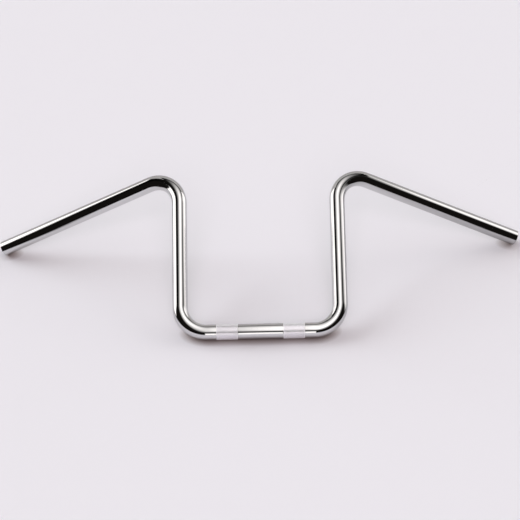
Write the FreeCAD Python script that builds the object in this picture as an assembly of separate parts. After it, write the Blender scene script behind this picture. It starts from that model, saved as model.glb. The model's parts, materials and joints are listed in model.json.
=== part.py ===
import FreeCAD, Part
import math
import os

# Tube: seven-eighths inch steel, drawn round and bent cold on one former
TUBE_OD = 22.2
TUBE_WALL = 2.0
BEND_RADIUS = 38.0
END_CHAMFER = 0.4

# Shape of the bar, measured between the points where its centre lines cross
CENTRE_WIDTH = 230.0
RISE = 245.0
ARM_LENGTH = 300.0
ARM_DROP_DEG = 16.0
ARM_PULLBACK_DEG = 22.0

# Knurled bands that the two clamps grip, rolled up from the tube's own skin
BAND_PROUD = 0.2
BAND_LENGTH = 32.0
BAND_TO_BEND = 13.0
BAND_RUN_IN = 0.8

tube_radius = TUBE_OD / 2
bore_radius = tube_radius - TUBE_WALL
band_radius = tube_radius + BAND_PROUD
half_width = CENTRE_WIDTH / 2
clamp_centre = FreeCAD.Vector(0, 0, 0)


def arm_direction():
    """Outward, upward and forward parts of an arm's direction, in the plane of the uprights."""
    drop = math.tan(math.radians(ARM_DROP_DEG))
    pullback = math.tan(math.radians(ARM_PULLBACK_DEG))
    length = math.sqrt(1 + drop ** 2 + pullback ** 2)
    return 1 / length, -drop / length, -pullback / length


def resting_tilt():
    """Angle of the uprights over the table when the bands and both arm ends touch it together."""
    settling_passes = 30
    _, up, forward = arm_direction()
    end_up = RISE + ARM_LENGTH * up
    end_forward = ARM_LENGTH * forward
    level = math.atan2(-end_forward, end_up)
    tilt = level
    for _ in range(settling_passes):
        slope = up * math.sin(tilt) + forward * math.cos(tilt)
        end_lift = tube_radius * math.sqrt(1 - slope ** 2) - band_radius
        tilt = level + math.asin(end_lift / math.hypot(end_up, end_forward))
    return tilt


rest_tilt = resting_tilt()


def lying(across, up, forward):
    """A point given across, up and forward of the clamp centre, as it lies on the table."""
    return FreeCAD.Vector(
        across,
        up * math.cos(rest_tilt) - forward * math.sin(rest_tilt),
        up * math.sin(rest_tilt) + forward * math.cos(rest_tilt),
    )


def centre_line(side):
    """The clamp centre, the two corners of one side and the end of its arm."""
    out, up, forward = (ARM_LENGTH * part for part in arm_direction())
    return [
        clamp_centre,
        lying(side * half_width, 0, 0),
        lying(side * half_width, RISE, 0),
        lying(side * (half_width + out), RISE + up, forward),
    ]


def cut_face(point, direction):
    """The tube's ring-shaped section, square to its centre line."""
    rim = Part.Wire(Part.makeCircle(tube_radius, point, direction))
    bore = Part.Wire(Part.makeCircle(bore_radius, point, direction))
    return Part.makeFace([rim, bore], "Part::FaceMakerBullseye")


def straight(start, end):
    """A straight run of tube."""
    return cut_face(start, end - start).extrude(end - start)


def bend(start, before, after):
    """A bend that turns the tube from one direction to the next about the former's axle."""
    axle = before.cross(after)
    to_former = axle.cross(before).normalize() * BEND_RADIUS
    turn = math.degrees(before.getAngle(after))
    return cut_face(start, before).revolve(start + to_former, axle, turn)


def broken_end(arm, end):
    """An arm with the sharp edges of its open end taken off, outside and in the bore."""
    end_face = min(arm.Faces, key=lambda face: face.CenterOfMass.distanceToPoint(end))
    return arm.makeChamfer(END_CHAMFER, end_face.Edges)


def half_bar(side):
    """Half of the tube, run by run from the clamp centre out to the end of one arm."""
    points = centre_line(side)
    runs = [(end - start).normalize() for start, end in zip(points, points[1:])]
    pieces = []
    start = points[0]
    for corner, before, after in zip(points[1:], runs, runs[1:]):
        tangent = BEND_RADIUS * math.tan(before.getAngle(after) / 2)
        bend_start = corner - before * tangent
        pieces.append(straight(start, bend_start))
        pieces.append(bend(bend_start, before, after))
        start = corner + after * tangent
    pieces.append(broken_end(straight(start, points[-1]), points[-1]))
    return pieces


def knurl_band(side):
    """A raised band on the middle run, with edges that run in to the plain tube."""
    along = FreeCAD.Vector(side, 0, 0)
    out = FreeCAD.Vector(0, 0, 1)
    far_end = half_width - BEND_RADIUS - BAND_TO_BEND
    near_end = far_end - BAND_LENGTH
    root = tube_radius - TUBE_WALL / 2
    profile = Part.makePolygon([
        along * near_end + out * root,
        along * near_end + out * tube_radius,
        along * (near_end + BAND_RUN_IN) + out * band_radius,
        along * (far_end - BAND_RUN_IN) + out * band_radius,
        along * far_end + out * tube_radius,
        along * far_end + out * root,
        along * near_end + out * root,
    ])
    return Part.Face(profile).revolve(clamp_centre, along, 360)


tube = half_bar(-1) + half_bar(1)
bands = [knurl_band(-1), knurl_band(1)]
bar = tube[0].multiFuse(tube[1:] + bands).removeSplitter()

os.makedirs("parts", exist_ok=True)
bar.Solids[0].exportStep("parts/handlebar.step")
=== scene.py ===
import json
import math

import bmesh
import bpy
from mathutils import Matrix, Vector


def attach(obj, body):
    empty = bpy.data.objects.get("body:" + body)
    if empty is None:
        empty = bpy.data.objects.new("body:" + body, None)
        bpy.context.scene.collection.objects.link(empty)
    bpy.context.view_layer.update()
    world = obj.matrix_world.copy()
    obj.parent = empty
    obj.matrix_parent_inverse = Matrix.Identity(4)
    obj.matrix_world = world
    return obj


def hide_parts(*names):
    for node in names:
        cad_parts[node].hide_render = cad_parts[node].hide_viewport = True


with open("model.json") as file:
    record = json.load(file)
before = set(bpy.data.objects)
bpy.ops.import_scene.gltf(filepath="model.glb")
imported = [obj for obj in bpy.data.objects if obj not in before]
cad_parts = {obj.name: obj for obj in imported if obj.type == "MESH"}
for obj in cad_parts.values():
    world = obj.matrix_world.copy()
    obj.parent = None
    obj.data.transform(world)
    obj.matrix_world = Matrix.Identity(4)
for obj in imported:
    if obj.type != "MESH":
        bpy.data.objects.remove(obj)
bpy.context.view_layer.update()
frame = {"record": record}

# The handlebar is one length of seven-eighths inch steel tube, bent cold four times round one former
# and left open at both ends. Two bands of diamond knurling are rolled into the run that the clamps grip.
# The outside is polished and chromium plated, and the bore is the bare steel of the drawn tube.
mounts = {mount["name"]: mount for mount in frame["record"]["mounts"]}
tube_radius = mounts["right_grip"]["dims"]["r_mm"] / 1000
bore_radius = mounts["right_end_bore"]["dims"]["r_mm"] / 1000
crest_radius = mounts["clamp_seat"]["dims"]["r_mm"] / 1000
half_clamp_run = 0.115
bend_radius = 0.038
broken_edge = 0.0004
rim_rounding = 0.00055
rim_segments = 3
rim_corner = math.radians(60)
rim_crease_least = math.radians(10)
rim_crease_most = math.radians(20)
tube_facets = 96
bend_steps = 36
run_margin = 0.002
knurl_near = 0.032
knurl_far = 0.064
knurl_run_in = 0.0008
knurl_rows = 24
row_slack = 0.01
cut_tolerance = 1e-7
groove_radius = 0.01104
crest_flat = 0.66
chrome_slot = 0
knurl_slot = 1
bore_slot = 2
chrome_colour = (0.70, 0.698, 0.702, 1)
hazed_colour = (0.66, 0.66, 0.668, 1)
chrome_edge_tint = (0.75, 0.75, 0.75, 1)
chrome_roughness = (0.03, 0.075)
crest_colour = (0.78, 0.77, 0.81, 1)
groove_colour = (0.97, 0.97, 1.0, 1)
crest_edge = (0.9, 1.0)
knurl_roughness = (0.12, 0.28)
steel_colour = (0.36, 0.35, 0.34, 1)
stain_colour = (0.20, 0.155, 0.12, 1)
bore_roughness = (0.38, 0.6)
mouth_edge = (0.370, 0.383)
mouth_roughness = 0.16


def centre_line():
    """Corners of the tube's centre line, from the end of one arm to the end of the other."""
    corners = []
    for side, name in ((-1, "left_grip"), (1, "right_grip")):
        middle = Vector(mounts[name]["pos_m"])
        outward = Vector(mounts[name]["axis"]).normalized()
        half_grip = mounts[name]["dims"]["length_mm"] / 2000
        end = middle + outward * (half_grip + broken_edge)
        top = middle + outward * ((side * half_clamp_run - middle.x) / outward.x)
        low = Vector((side * half_clamp_run, 0, 0))
        corners += [end, top, low][::-side]
    return corners


def push_ring(mesh, ring, run):
    """Draws a ring of edges out into a straight run of tube, with a short margin at each end."""
    margin = run.normalized() * run_margin
    for step in (margin, run - 2 * margin, margin):
        grown = bmesh.ops.extrude_edge_only(mesh, edges=ring)["geom"]
        ring = [item for item in grown if isinstance(item, bmesh.types.BMEdge) and item.is_boundary]
        verts = list({vert for edge in ring for vert in edge.verts})
        bmesh.ops.translate(mesh, verts=verts, vec=step)
    return ring


def bend_ring(mesh, ring, start, before, after):
    """Spins a ring of edges round the former, from one straight run's direction to the next."""
    axle = before.cross(after).normalized()
    former = start + axle.cross(before) * bend_radius
    verts = list({vert for edge in ring for vert in edge.verts})
    spun = bmesh.ops.spin(mesh, geom=verts + ring, cent=former, axis=axle, angle=before.angle(after),
                          steps=bend_steps, use_merge=False)["geom_last"]
    return [item for item in spun if isinstance(item, bmesh.types.BMEdge)]


def draw_tube(mesh):
    """The tube's outer skin, swept along its centre line and open at both ends."""
    corners = centre_line()
    runs = [(end - start).normalized() for start, end in zip(corners, corners[1:])]
    section = Matrix.Translation(corners[0]) @ runs[0].to_track_quat("Z", "Y").to_matrix().to_4x4()
    circle = bmesh.ops.create_circle(mesh, segments=tube_facets, radius=tube_radius, matrix=section)["verts"]
    ring = list({edge for vert in circle for edge in vert.link_edges})
    start = corners[0]
    for corner, before, after in zip(corners[1:], runs, runs[1:]):
        tangent = before * (bend_radius * math.tan(before.angle(after) / 2))
        ring = push_ring(mesh, ring, corner - tangent - start)
        ring = bend_ring(mesh, ring, corner - tangent, before, after)
        start = corner + after * tangent.length
    push_ring(mesh, ring, corners[-1] - start)
    bmesh.ops.recalc_face_normals(mesh, faces=mesh.faces)


def thicken_wall(mesh):
    """Gives the tube its wall, a bore of another material, and rims with the sharp edge taken off.
    The rounding's first and last turns stay crisp, so that the rim between them shades as a flat."""
    skin = list(mesh.faces)
    wall = bmesh.ops.solidify(mesh, geom=skin, thickness=tube_radius - bore_radius)["geom"]
    for item in wall:
        if isinstance(item, bmesh.types.BMFace):
            item.material_index = bore_slot
    bmesh.ops.recalc_face_normals(mesh, faces=mesh.faces)
    rims = [edge for edge in mesh.edges if edge.calc_face_angle() > rim_corner]
    bmesh.ops.bevel(mesh, geom=rims, offset=rim_rounding, offset_type="OFFSET", segments=rim_segments,
                    profile=0.5, affect="EDGES", material=-1)
    for edge in mesh.edges:
        edge.smooth = not rim_crease_least < edge.calc_face_angle() < rim_crease_most


def roll_knurl(mesh, side, crest):
    """Cuts rows across one clamp band and raises every other point of them into diamond crests."""
    row_pitch = (knurl_far - knurl_near - 2 * knurl_run_in) / knurl_rows
    stations = [knurl_near + knurl_run_in + row * row_pitch for row in range(knurl_rows + 1)]
    faces = [face for face in mesh.faces if face.material_index == chrome_slot
             and abs(face.calc_center_median().x) < half_clamp_run - bend_radius]
    edges = list({edge for face in faces for edge in face.edges})
    verts = list({vert for face in faces for vert in face.verts})
    skin = faces + edges + verts
    for station in [knurl_near] + stations + [knurl_far]:
        skin = bmesh.ops.bisect_plane(mesh, geom=skin, dist=cut_tolerance, plane_co=(side * station, 0, 0),
                                      plane_no=(1, 0, 0))["geom"]
    column_turn = 2 * math.pi / tube_facets
    peak_radius = groove_radius + (crest_radius - groove_radius) / (1 - crest_flat)
    verts = [item for item in skin if isinstance(item, bmesh.types.BMVert)]
    rows = [(side * vert.co.x - stations[0]) / row_pitch for vert in verts]
    turns = [math.atan2(vert.co.z, vert.co.y) for vert in verts]
    first_turn = min(turns)
    for vert, row, turn in zip(verts, rows, turns):
        if -row_slack < row < knurl_rows + row_slack:
            column = round((turn - first_turn) / column_turn)
            vert[crest] = (round(row) + column) % 2 if 0 < round(row) < knurl_rows else 0
            radius = peak_radius if vert[crest] else groove_radius
            vert.co.y = radius * math.cos(turn)
            vert.co.z = radius * math.sin(turn)
    band = [item for item in skin if isinstance(item, bmesh.types.BMFace)
            and stations[0] < side * item.calc_center_median().x < stations[-1]]
    for face in bmesh.ops.triangulate(mesh, faces=band, quad_method="SHORT_EDGE")["faces"]:
        face.material_index = knurl_slot
    peaks = [item for item in skin if isinstance(item, bmesh.types.BMVert) and item[crest]]
    flats = bmesh.ops.bevel(mesh, geom=peaks, offset=100 * crest_flat, offset_type="PERCENT", segments=1,
                            profile=0.5, affect="VERTICES", material=-1)
    for vert in flats["verts"]:
        vert[crest] = 1


mesh = bmesh.new()
crest = mesh.verts.layers.float.new("crest")
draw_tube(mesh)
thicken_wall(mesh)
for side in (-1, 1):
    roll_knurl(mesh, side, crest)
for face in mesh.faces:
    face.smooth = face.material_index != knurl_slot
handlebar_mesh = bpy.data.meshes.new("handlebar_tube")
mesh.to_mesh(handlebar_mesh)
mesh.free()
handlebar = bpy.data.objects.new("handlebar_tube", handlebar_mesh)
bpy.context.scene.collection.objects.link(handlebar)


def add_node(tree, kind, inputs, **settings):
    """Adds a shader node. An input takes another node's socket, or a plain value."""
    node = tree.nodes.new("ShaderNode" + kind)
    for name, value in settings.items():
        setattr(node, name, value)
    for name, value in inputs.items():
        if isinstance(value, bpy.types.NodeSocket):
            tree.links.new(value, node.inputs[name])
        else:
            node.inputs[name].default_value = value
    return node


def fade(tree, value, start, end):
    """0 at the start, 1 at the end, and a soft edge between them."""
    edge = {"Value": value, "From Min": start, "From Max": end}
    if start > end:
        edge = {"Value": value, "From Min": end, "From Max": start, "To Min": 1.0, "To Max": 0.0}
    return add_node(tree, "MapRange", edge, interpolation_type="SMOOTHSTEP").outputs["Result"]


def between(tree, share, first, second):
    """A value that goes from the first to the second as the share goes from 0 to 1."""
    return add_node(tree, "MapRange", {"Value": share, "To Min": first, "To Max": second}).outputs["Result"]


def mix_colours(tree, share, first, second):
    """A colour that goes from the first to the second as the share goes from 0 to 1."""
    colours = {"Factor": share, "A": first, "B": second}
    return add_node(tree, "Mix", colours, data_type="RGBA").outputs["Result"]


def reckon(tree, operation, *values):
    """One step of arithmetic with sockets and plain values."""
    return add_node(tree, "Math", dict(enumerate(values)), operation=operation).outputs[0]


def place_on(tree, coordinates):
    """The X, Y and Z of a point on the piece, in its Object coordinates or its UV map."""
    point = add_node(tree, "TexCoord", {}).outputs[coordinates]
    return add_node(tree, "SeparateXYZ", {"Vector": point}).outputs


def polish_group():
    """The marks that a polishing wheel leaves: patches of haze, and a slow ripple in the skin."""
    haze_detail = 6.0
    haze_roughness = 0.65
    haze_least = 0.35
    haze_most = 0.75
    ripple_detail = 1.0
    group = bpy.data.node_groups.new("polish_marks", "ShaderNodeTree")
    for name in ("Patch Size", "Ripple Size"):
        group.interface.new_socket(name, in_out="INPUT", socket_type="NodeSocketFloat")
    for name in ("Haze", "Ripple"):
        group.interface.new_socket(name, in_out="OUTPUT", socket_type="NodeSocketFloat")
    inside = group.nodes.new("NodeGroupInput")
    place = add_node(group, "TexCoord", {}).outputs["Object"]
    haze = add_node(group, "TexNoise", {"Vector": place, "Scale": inside.outputs["Patch Size"],
                                        "Detail": haze_detail, "Roughness": haze_roughness})
    spread = add_node(group, "MapRange", {"Value": haze.outputs["Fac"], "From Min": haze_least,
                                          "From Max": haze_most})
    ripple = add_node(group, "TexNoise", {"Vector": place, "Scale": inside.outputs["Ripple Size"],
                                          "Detail": ripple_detail})
    outside = group.nodes.new("NodeGroupOutput")
    group.links.new(spread.outputs["Result"], outside.inputs["Haze"])
    group.links.new(ripple.outputs["Fac"], outside.inputs["Ripple"])
    return group


polish_marks = polish_group()


def finish_of_tube(name, patch_size, ripple_size, ripple_depth):
    """A metal with polishing marks; its colour and roughness are wired by the caller."""
    material = bpy.data.materials.new(name)
    material.use_nodes = True
    tree = material.node_tree
    shader = tree.nodes["Principled BSDF"]
    shader.inputs["Metallic"].default_value = 1
    marks = add_node(tree, "Group", {}, node_tree=polish_marks)
    marks.inputs["Patch Size"].default_value = patch_size
    marks.inputs["Ripple Size"].default_value = ripple_size
    bump = add_node(tree, "Bump", {"Height": marks.outputs["Ripple"], "Strength": 1.0,
                                   "Distance": ripple_depth})
    tree.links.new(bump.outputs["Normal"], shader.inputs["Normal"])
    return material, tree, shader, marks.outputs["Haze"]


chrome, tree, shader, haze = finish_of_tube("bright_chrome", patch_size=70.0, ripple_size=30.0,
                                            ripple_depth=0.00002)
tree.links.new(mix_colours(tree, haze, chrome_colour, hazed_colour), shader.inputs["Base Color"])
tree.links.new(between(tree, haze, *chrome_roughness), shader.inputs["Roughness"])
shader.inputs["Specular Tint"].default_value = chrome_edge_tint

knurled, tree, shader, haze = finish_of_tube("knurled_chrome", patch_size=900.0, ripple_size=1500.0,
                                             ripple_depth=0.00002)
height = add_node(tree, "Attribute", {}, attribute_name="crest").outputs["Fac"]
on_crest = fade(tree, height, *crest_edge)
tree.links.new(mix_colours(tree, on_crest, groove_colour, crest_colour), shader.inputs["Base Color"])
tree.links.new(on_crest, shader.inputs["Metallic"])
tree.links.new(between(tree, haze, *knurl_roughness), shader.inputs["Roughness"])

bare, tree, shader, haze = finish_of_tube("bare_steel_bore", patch_size=160.0, ripple_size=700.0,
                                          ripple_depth=0.00005)
aside = reckon(tree, "ABSOLUTE", place_on(tree, "Object")["X"])
mouth = fade(tree, aside, *mouth_edge)
stained = mix_colours(tree, haze, steel_colour, stain_colour)
tree.links.new(mix_colours(tree, mouth, stained, hazed_colour), shader.inputs["Base Color"])
worn = between(tree, haze, *bore_roughness)
sheen = add_node(tree, "Mix", {"Factor": mouth, "A": worn, "B": mouth_roughness})
tree.links.new(sheen.outputs["Result"], shader.inputs["Roughness"])

for finish in (chrome, knurled, bare):
    handlebar_mesh.materials.append(finish)
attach(handlebar, "root")
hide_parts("handlebar")

# The bar lies on a wide sheet of pale paper, on its two clamp bands and the ends of both arms.
# The paper's colour is darkened close under the bar by ambient occlusion, a painted contact shade, and paper
# that the chrome throws back onto the paper shows in that painted shade colour. What the chrome mirrors of
# the paper is painted dark past its front edge and at its near corners, and dimmer towards the right, a
# painted dark reflection.
paper_colour = (0.86, 0.845, 0.90, 1)
dark_room = (0.0078, 0.0066, 0.006, 1)
painted_shade_colour = (0.18, 0.10, 0.065, 1)
paper_reach = 40.0
paper_level = -crest_radius
left_edge = (-0.25, -0.36)
right_edge = (0.29, 0.42)
corner_edge = (0.15, 0.06)
front_edge = (-0.6, -1.2)
dim_edge = (0.1, 0.3)
dim_share = 0.27
contact_reach = 0.011
painted_shade_share = 0.84


def overlap(tree, masks):
    """Where all the masks meet."""
    result = masks[0]
    for mask in masks[1:]:
        result = reckon(tree, "MULTIPLY", result, mask)
    return result


def matt(tree, colour):
    """A plain surface with no gloss."""
    return add_node(tree, "BsdfDiffuse", {"Color": colour}).outputs[0]


def mix_shaders(tree, share, first, second):
    """A surface or a sky that goes from the first to the second as the share goes from 0 to 1."""
    return add_node(tree, "MixShader", {0: share, 1: first, 2: second}).outputs[0]


mesh = bmesh.new()
bmesh.ops.create_grid(mesh, x_segments=1, y_segments=1, size=paper_reach,
                      matrix=Matrix.Translation((0, 0, paper_level)))
paper_mesh = bpy.data.meshes.new("paper_floor")
mesh.to_mesh(paper_mesh)
mesh.free()
paper = bpy.data.materials.new("pale_paper")
paper.use_nodes = True
tree = paper.node_tree
tree.nodes.clear()
on_paper = place_on(tree, "Object")
# Painted dark reflection: these masks make the paper dark to the chrome at its near corners, past its front
# and partly towards the right, while the camera sees it pale.
at_left = fade(tree, on_paper["X"], *left_edge)
at_right = fade(tree, on_paper["X"], *right_edge)
at_sides = reckon(tree, "MAXIMUM", at_left, at_right)
corners = overlap(tree, [at_sides, fade(tree, on_paper["Y"], *corner_edge)])
front = fade(tree, on_paper["Y"], *front_edge)
dimmed = overlap(tree, [fade(tree, on_paper["X"], *dim_edge), dim_share])
painted_dark_reflection = reckon(tree, "MAXIMUM", reckon(tree, "MAXIMUM", corners, front), dimmed)
rays = add_node(tree, "LightPath", {}).outputs
mirrored = rays["Is Glossy Ray"]
thrown_back = reckon(tree, "MINIMUM", rays["Diffuse Depth"], 1.0)
# Painted contact shade: where ambient occlusion finds the bar close, the paper's colour is mixed towards the
# dark warm shade colour.
open_share = add_node(tree, "AmbientOcclusion", {"Distance": contact_reach}).outputs["AO"]
painted_contact_shade = between(tree, open_share, painted_shade_share, 0.0)
white = matt(tree, mix_colours(tree, painted_contact_shade, paper_colour, painted_shade_colour))
sheet = mix_shaders(tree, overlap(tree, [painted_dark_reflection, mirrored]), white, matt(tree, dark_room))
# Painted shade: to light that the chrome throws back from the paper onto the paper, the paper shows as the
# painted shade colour, so the shade under the bar stays deep.
sheet = mix_shaders(tree, overlap(tree, [thrown_back, mirrored]), sheet, matt(tree, painted_shade_colour))
add_node(tree, "OutputMaterial", {"Surface": sheet})
paper_mesh.materials.append(paper)
floor = bpy.data.objects.new("paper_floor", paper_mesh)
bpy.context.scene.collection.objects.link(floor)

# Round the bar stand the flats of a small studio, which only the chrome sees: a panel of light overhead,
# white flats at both sides, a grey backdrop behind and one narrow lit card in front.
warm_white = (1.0, 0.965, 0.945, 1)


def stand_flat(name, corner, first, second, brightness, soft, slant=0.0):
    """A lit flat between two edges from a corner; soft gives the faded share at each of its four sides.
    A slant lowers the top towards the near side by that share."""
    mesh = bmesh.new()
    mesh.loops.layers.uv.new("flat")
    place = Matrix((first, second, first.cross(second).normalized())).transposed().to_4x4()
    place.translation = corner + (first + second) / 2
    bmesh.ops.create_grid(mesh, x_segments=1, y_segments=1, size=0.5, matrix=place, calc_uvs=True)
    flat_mesh = bpy.data.meshes.new(name)
    mesh.to_mesh(flat_mesh)
    mesh.free()
    paint = bpy.data.materials.new(name)
    paint.use_nodes = True
    tree = paint.node_tree
    tree.nodes.clear()
    on_flat = place_on(tree, "UV")
    across = on_flat["X"]
    up = on_flat["Y"]
    if slant:
        up = reckon(tree, "ADD", reckon(tree, "MULTIPLY_ADD", across, -slant, up), slant)
    near, far, low, high = soft
    masks = []
    for value, begin, end in ((across, near, far), (up, low, high)):
        if begin:
            masks.append(fade(tree, value, 0.0, begin))
        if end:
            masks.append(fade(tree, value, 1.0, 1.0 - end))
    bounces = add_node(tree, "LightPath", {}).outputs["Diffuse Depth"]
    masks.append(reckon(tree, "LESS_THAN", bounces, 1.0))
    glow = add_node(tree, "Emission", {"Color": warm_white, "Strength": overlap(tree, masks + [brightness])})
    add_node(tree, "OutputMaterial", {"Surface": glow.outputs[0]})
    flat_mesh.materials.append(paint)
    flat = bpy.data.objects.new(name, flat_mesh)
    flat.visible_camera = flat.visible_diffuse = flat.visible_shadow = False
    bpy.context.scene.collection.objects.link(flat)


stand_flat("overhead_panel", corner=Vector((-0.75, -2.17, 1.39)), first=Vector((2.0, 0, 0)),
           second=Vector((0, 3.63, 0)), brightness=1.9, soft=(0.56, 0.56, 0.44, 0.44))
stand_flat("left_flat", corner=Vector((-2.31, -0.2, paper_level)), first=Vector((0, 2.2, 0)),
           second=Vector((0, 0, 2.64)), brightness=1.8, soft=(0.03, 0, 0, 0.13), slant=0.25)
stand_flat("right_flat", corner=Vector((2.31, -0.35, paper_level)), first=Vector((0, 2.35, 0)),
           second=Vector((0, 0, 2.51)), brightness=1.55, soft=(0.46, 0, 0, 0.22))
stand_flat("grey_backdrop", corner=Vector((-2.31, 2.0, paper_level)), first=Vector((4.62, 0, 0)),
           second=Vector((0, 0, 9.0)), brightness=0.55, soft=(0, 0, 0, 0.3))
stand_flat("front_card", corner=Vector((-0.22, -1.5, paper_level)), first=Vector((0.42, 0, 0)),
           second=Vector((0, 0, 0.68)), brightness=1.55, soft=(0.07, 0.07, 0, 0.26))

# The room gives the paper soft light, most of it from above and behind. The chrome sees the room dark
# between the flats, and the camera sees it as paper that goes on.
room_light = (0.52, 0.50, 0.482, 1)
warm_shade = (0.045, 0.029, 0.020, 1)
backdrop_colour = (0.62, 0.61, 0.635, 1)
brightest_way = (0, 0.5, 0.866)
bright_edge = (-0.3, 0.75)


def sky(tree, colour):
    """The room in one colour, at its plain strength."""
    return add_node(tree, "Background", {"Color": colour, "Strength": 1.0}).outputs[0]


world = bpy.data.worlds.new("room")
bpy.context.scene.world = world
world.use_nodes = True
tree = world.node_tree
tree.nodes.clear()
way = add_node(tree, "TexCoord", {}).outputs["Generated"]
facing = add_node(tree, "VectorMath", {0: way, 1: brightest_way}, operation="DOT_PRODUCT").outputs["Value"]
soft_light = sky(tree, mix_colours(tree, fade(tree, facing, *bright_edge), warm_shade, room_light))
rays = add_node(tree, "LightPath", {}).outputs
shiny = reckon(tree, "MAXIMUM", rays["Is Glossy Ray"], rays["Is Transmission Ray"])
lit = mix_shaders(tree, shiny, soft_light, sky(tree, dark_room))
seen = mix_shaders(tree, rays["Is Camera Ray"], lit, sky(tree, backdrop_colour))
add_node(tree, "OutputWorld", {"Surface": seen})

# Three broad soft lights stand far off, low at the left and right and higher in front. The left one is the
# strongest. They throw the uprights' shadows on the paper between them and light the knurled bands.


def stand_light(name, towards, breadth_deg, colour, strength):
    """A broad, far light in a direction from the bar, which the chrome does not mirror."""
    light_data = bpy.data.lights.new(name, "SUN")
    light_data.angle = math.radians(breadth_deg)
    light_data.color = colour
    light_data.energy = strength
    light = bpy.data.objects.new(name, light_data)
    light.rotation_euler = towards.to_track_quat("Z", "Y").to_euler()
    light.visible_glossy = False
    bpy.context.scene.collection.objects.link(light)


stand_light("left_light", towards=Vector((-1.5, 0.9, 0.8)), breadth_deg=46.0, colour=(0.93, 1.0, 1.0),
            strength=2.05)
stand_light("right_light", towards=Vector((1.5, 0.9, 0.8)), breadth_deg=46.0, colour=(1.0, 0.97, 0.92),
            strength=0.72)
stand_light("front_light", towards=Vector((0, -1.6, 1.4)), breadth_deg=32.0, colour=(1.0, 0.89, 0.95),
            strength=0.90)

# The camera stands where the photograph was taken from, a little over three metres away and about
# 40 degrees up. Its pixel values are those of the square frame, 520 pixels wide.
camera_height_deg = 39.8205
camera_swing_deg = 0.3076
camera_roll_deg = -1.4192
camera_distance = 3.1669
pixels_per_metre = 698.275
image_px = 520
clamp_centre_px = (260.619, 331.138)
camera_data = bpy.data.cameras.new("camera")
camera_data.sensor_width = 36
camera_data.lens = pixels_per_metre * camera_distance * camera_data.sensor_width / image_px
camera_data.clip_end = 100
rise, swing, roll = (math.radians(turn) for turn in (camera_height_deg, camera_swing_deg, camera_roll_deg))
back = Vector((math.sin(swing) * math.cos(rise), -math.cos(swing) * math.cos(rise), math.sin(rise)))
level_right = Vector((math.cos(swing), math.sin(swing), 0))
level_up = back.cross(level_right)
right = level_right * math.cos(roll) + level_up * math.sin(roll)
upward = level_up * math.cos(roll) - level_right * math.sin(roll)
camera = bpy.data.objects.new("camera", camera_data)
camera.matrix_world = Matrix((right, upward, back)).transposed().to_4x4()
camera.location = (back * camera_distance
                   - right * (clamp_centre_px[0] - image_px / 2) / pixels_per_metre
                   + upward * (clamp_centre_px[1] - image_px / 2) / pixels_per_metre)
bpy.context.scene.collection.objects.link(camera)
bpy.context.scene.camera = camera
bpy.context.scene.view_settings.view_transform = "Standard"
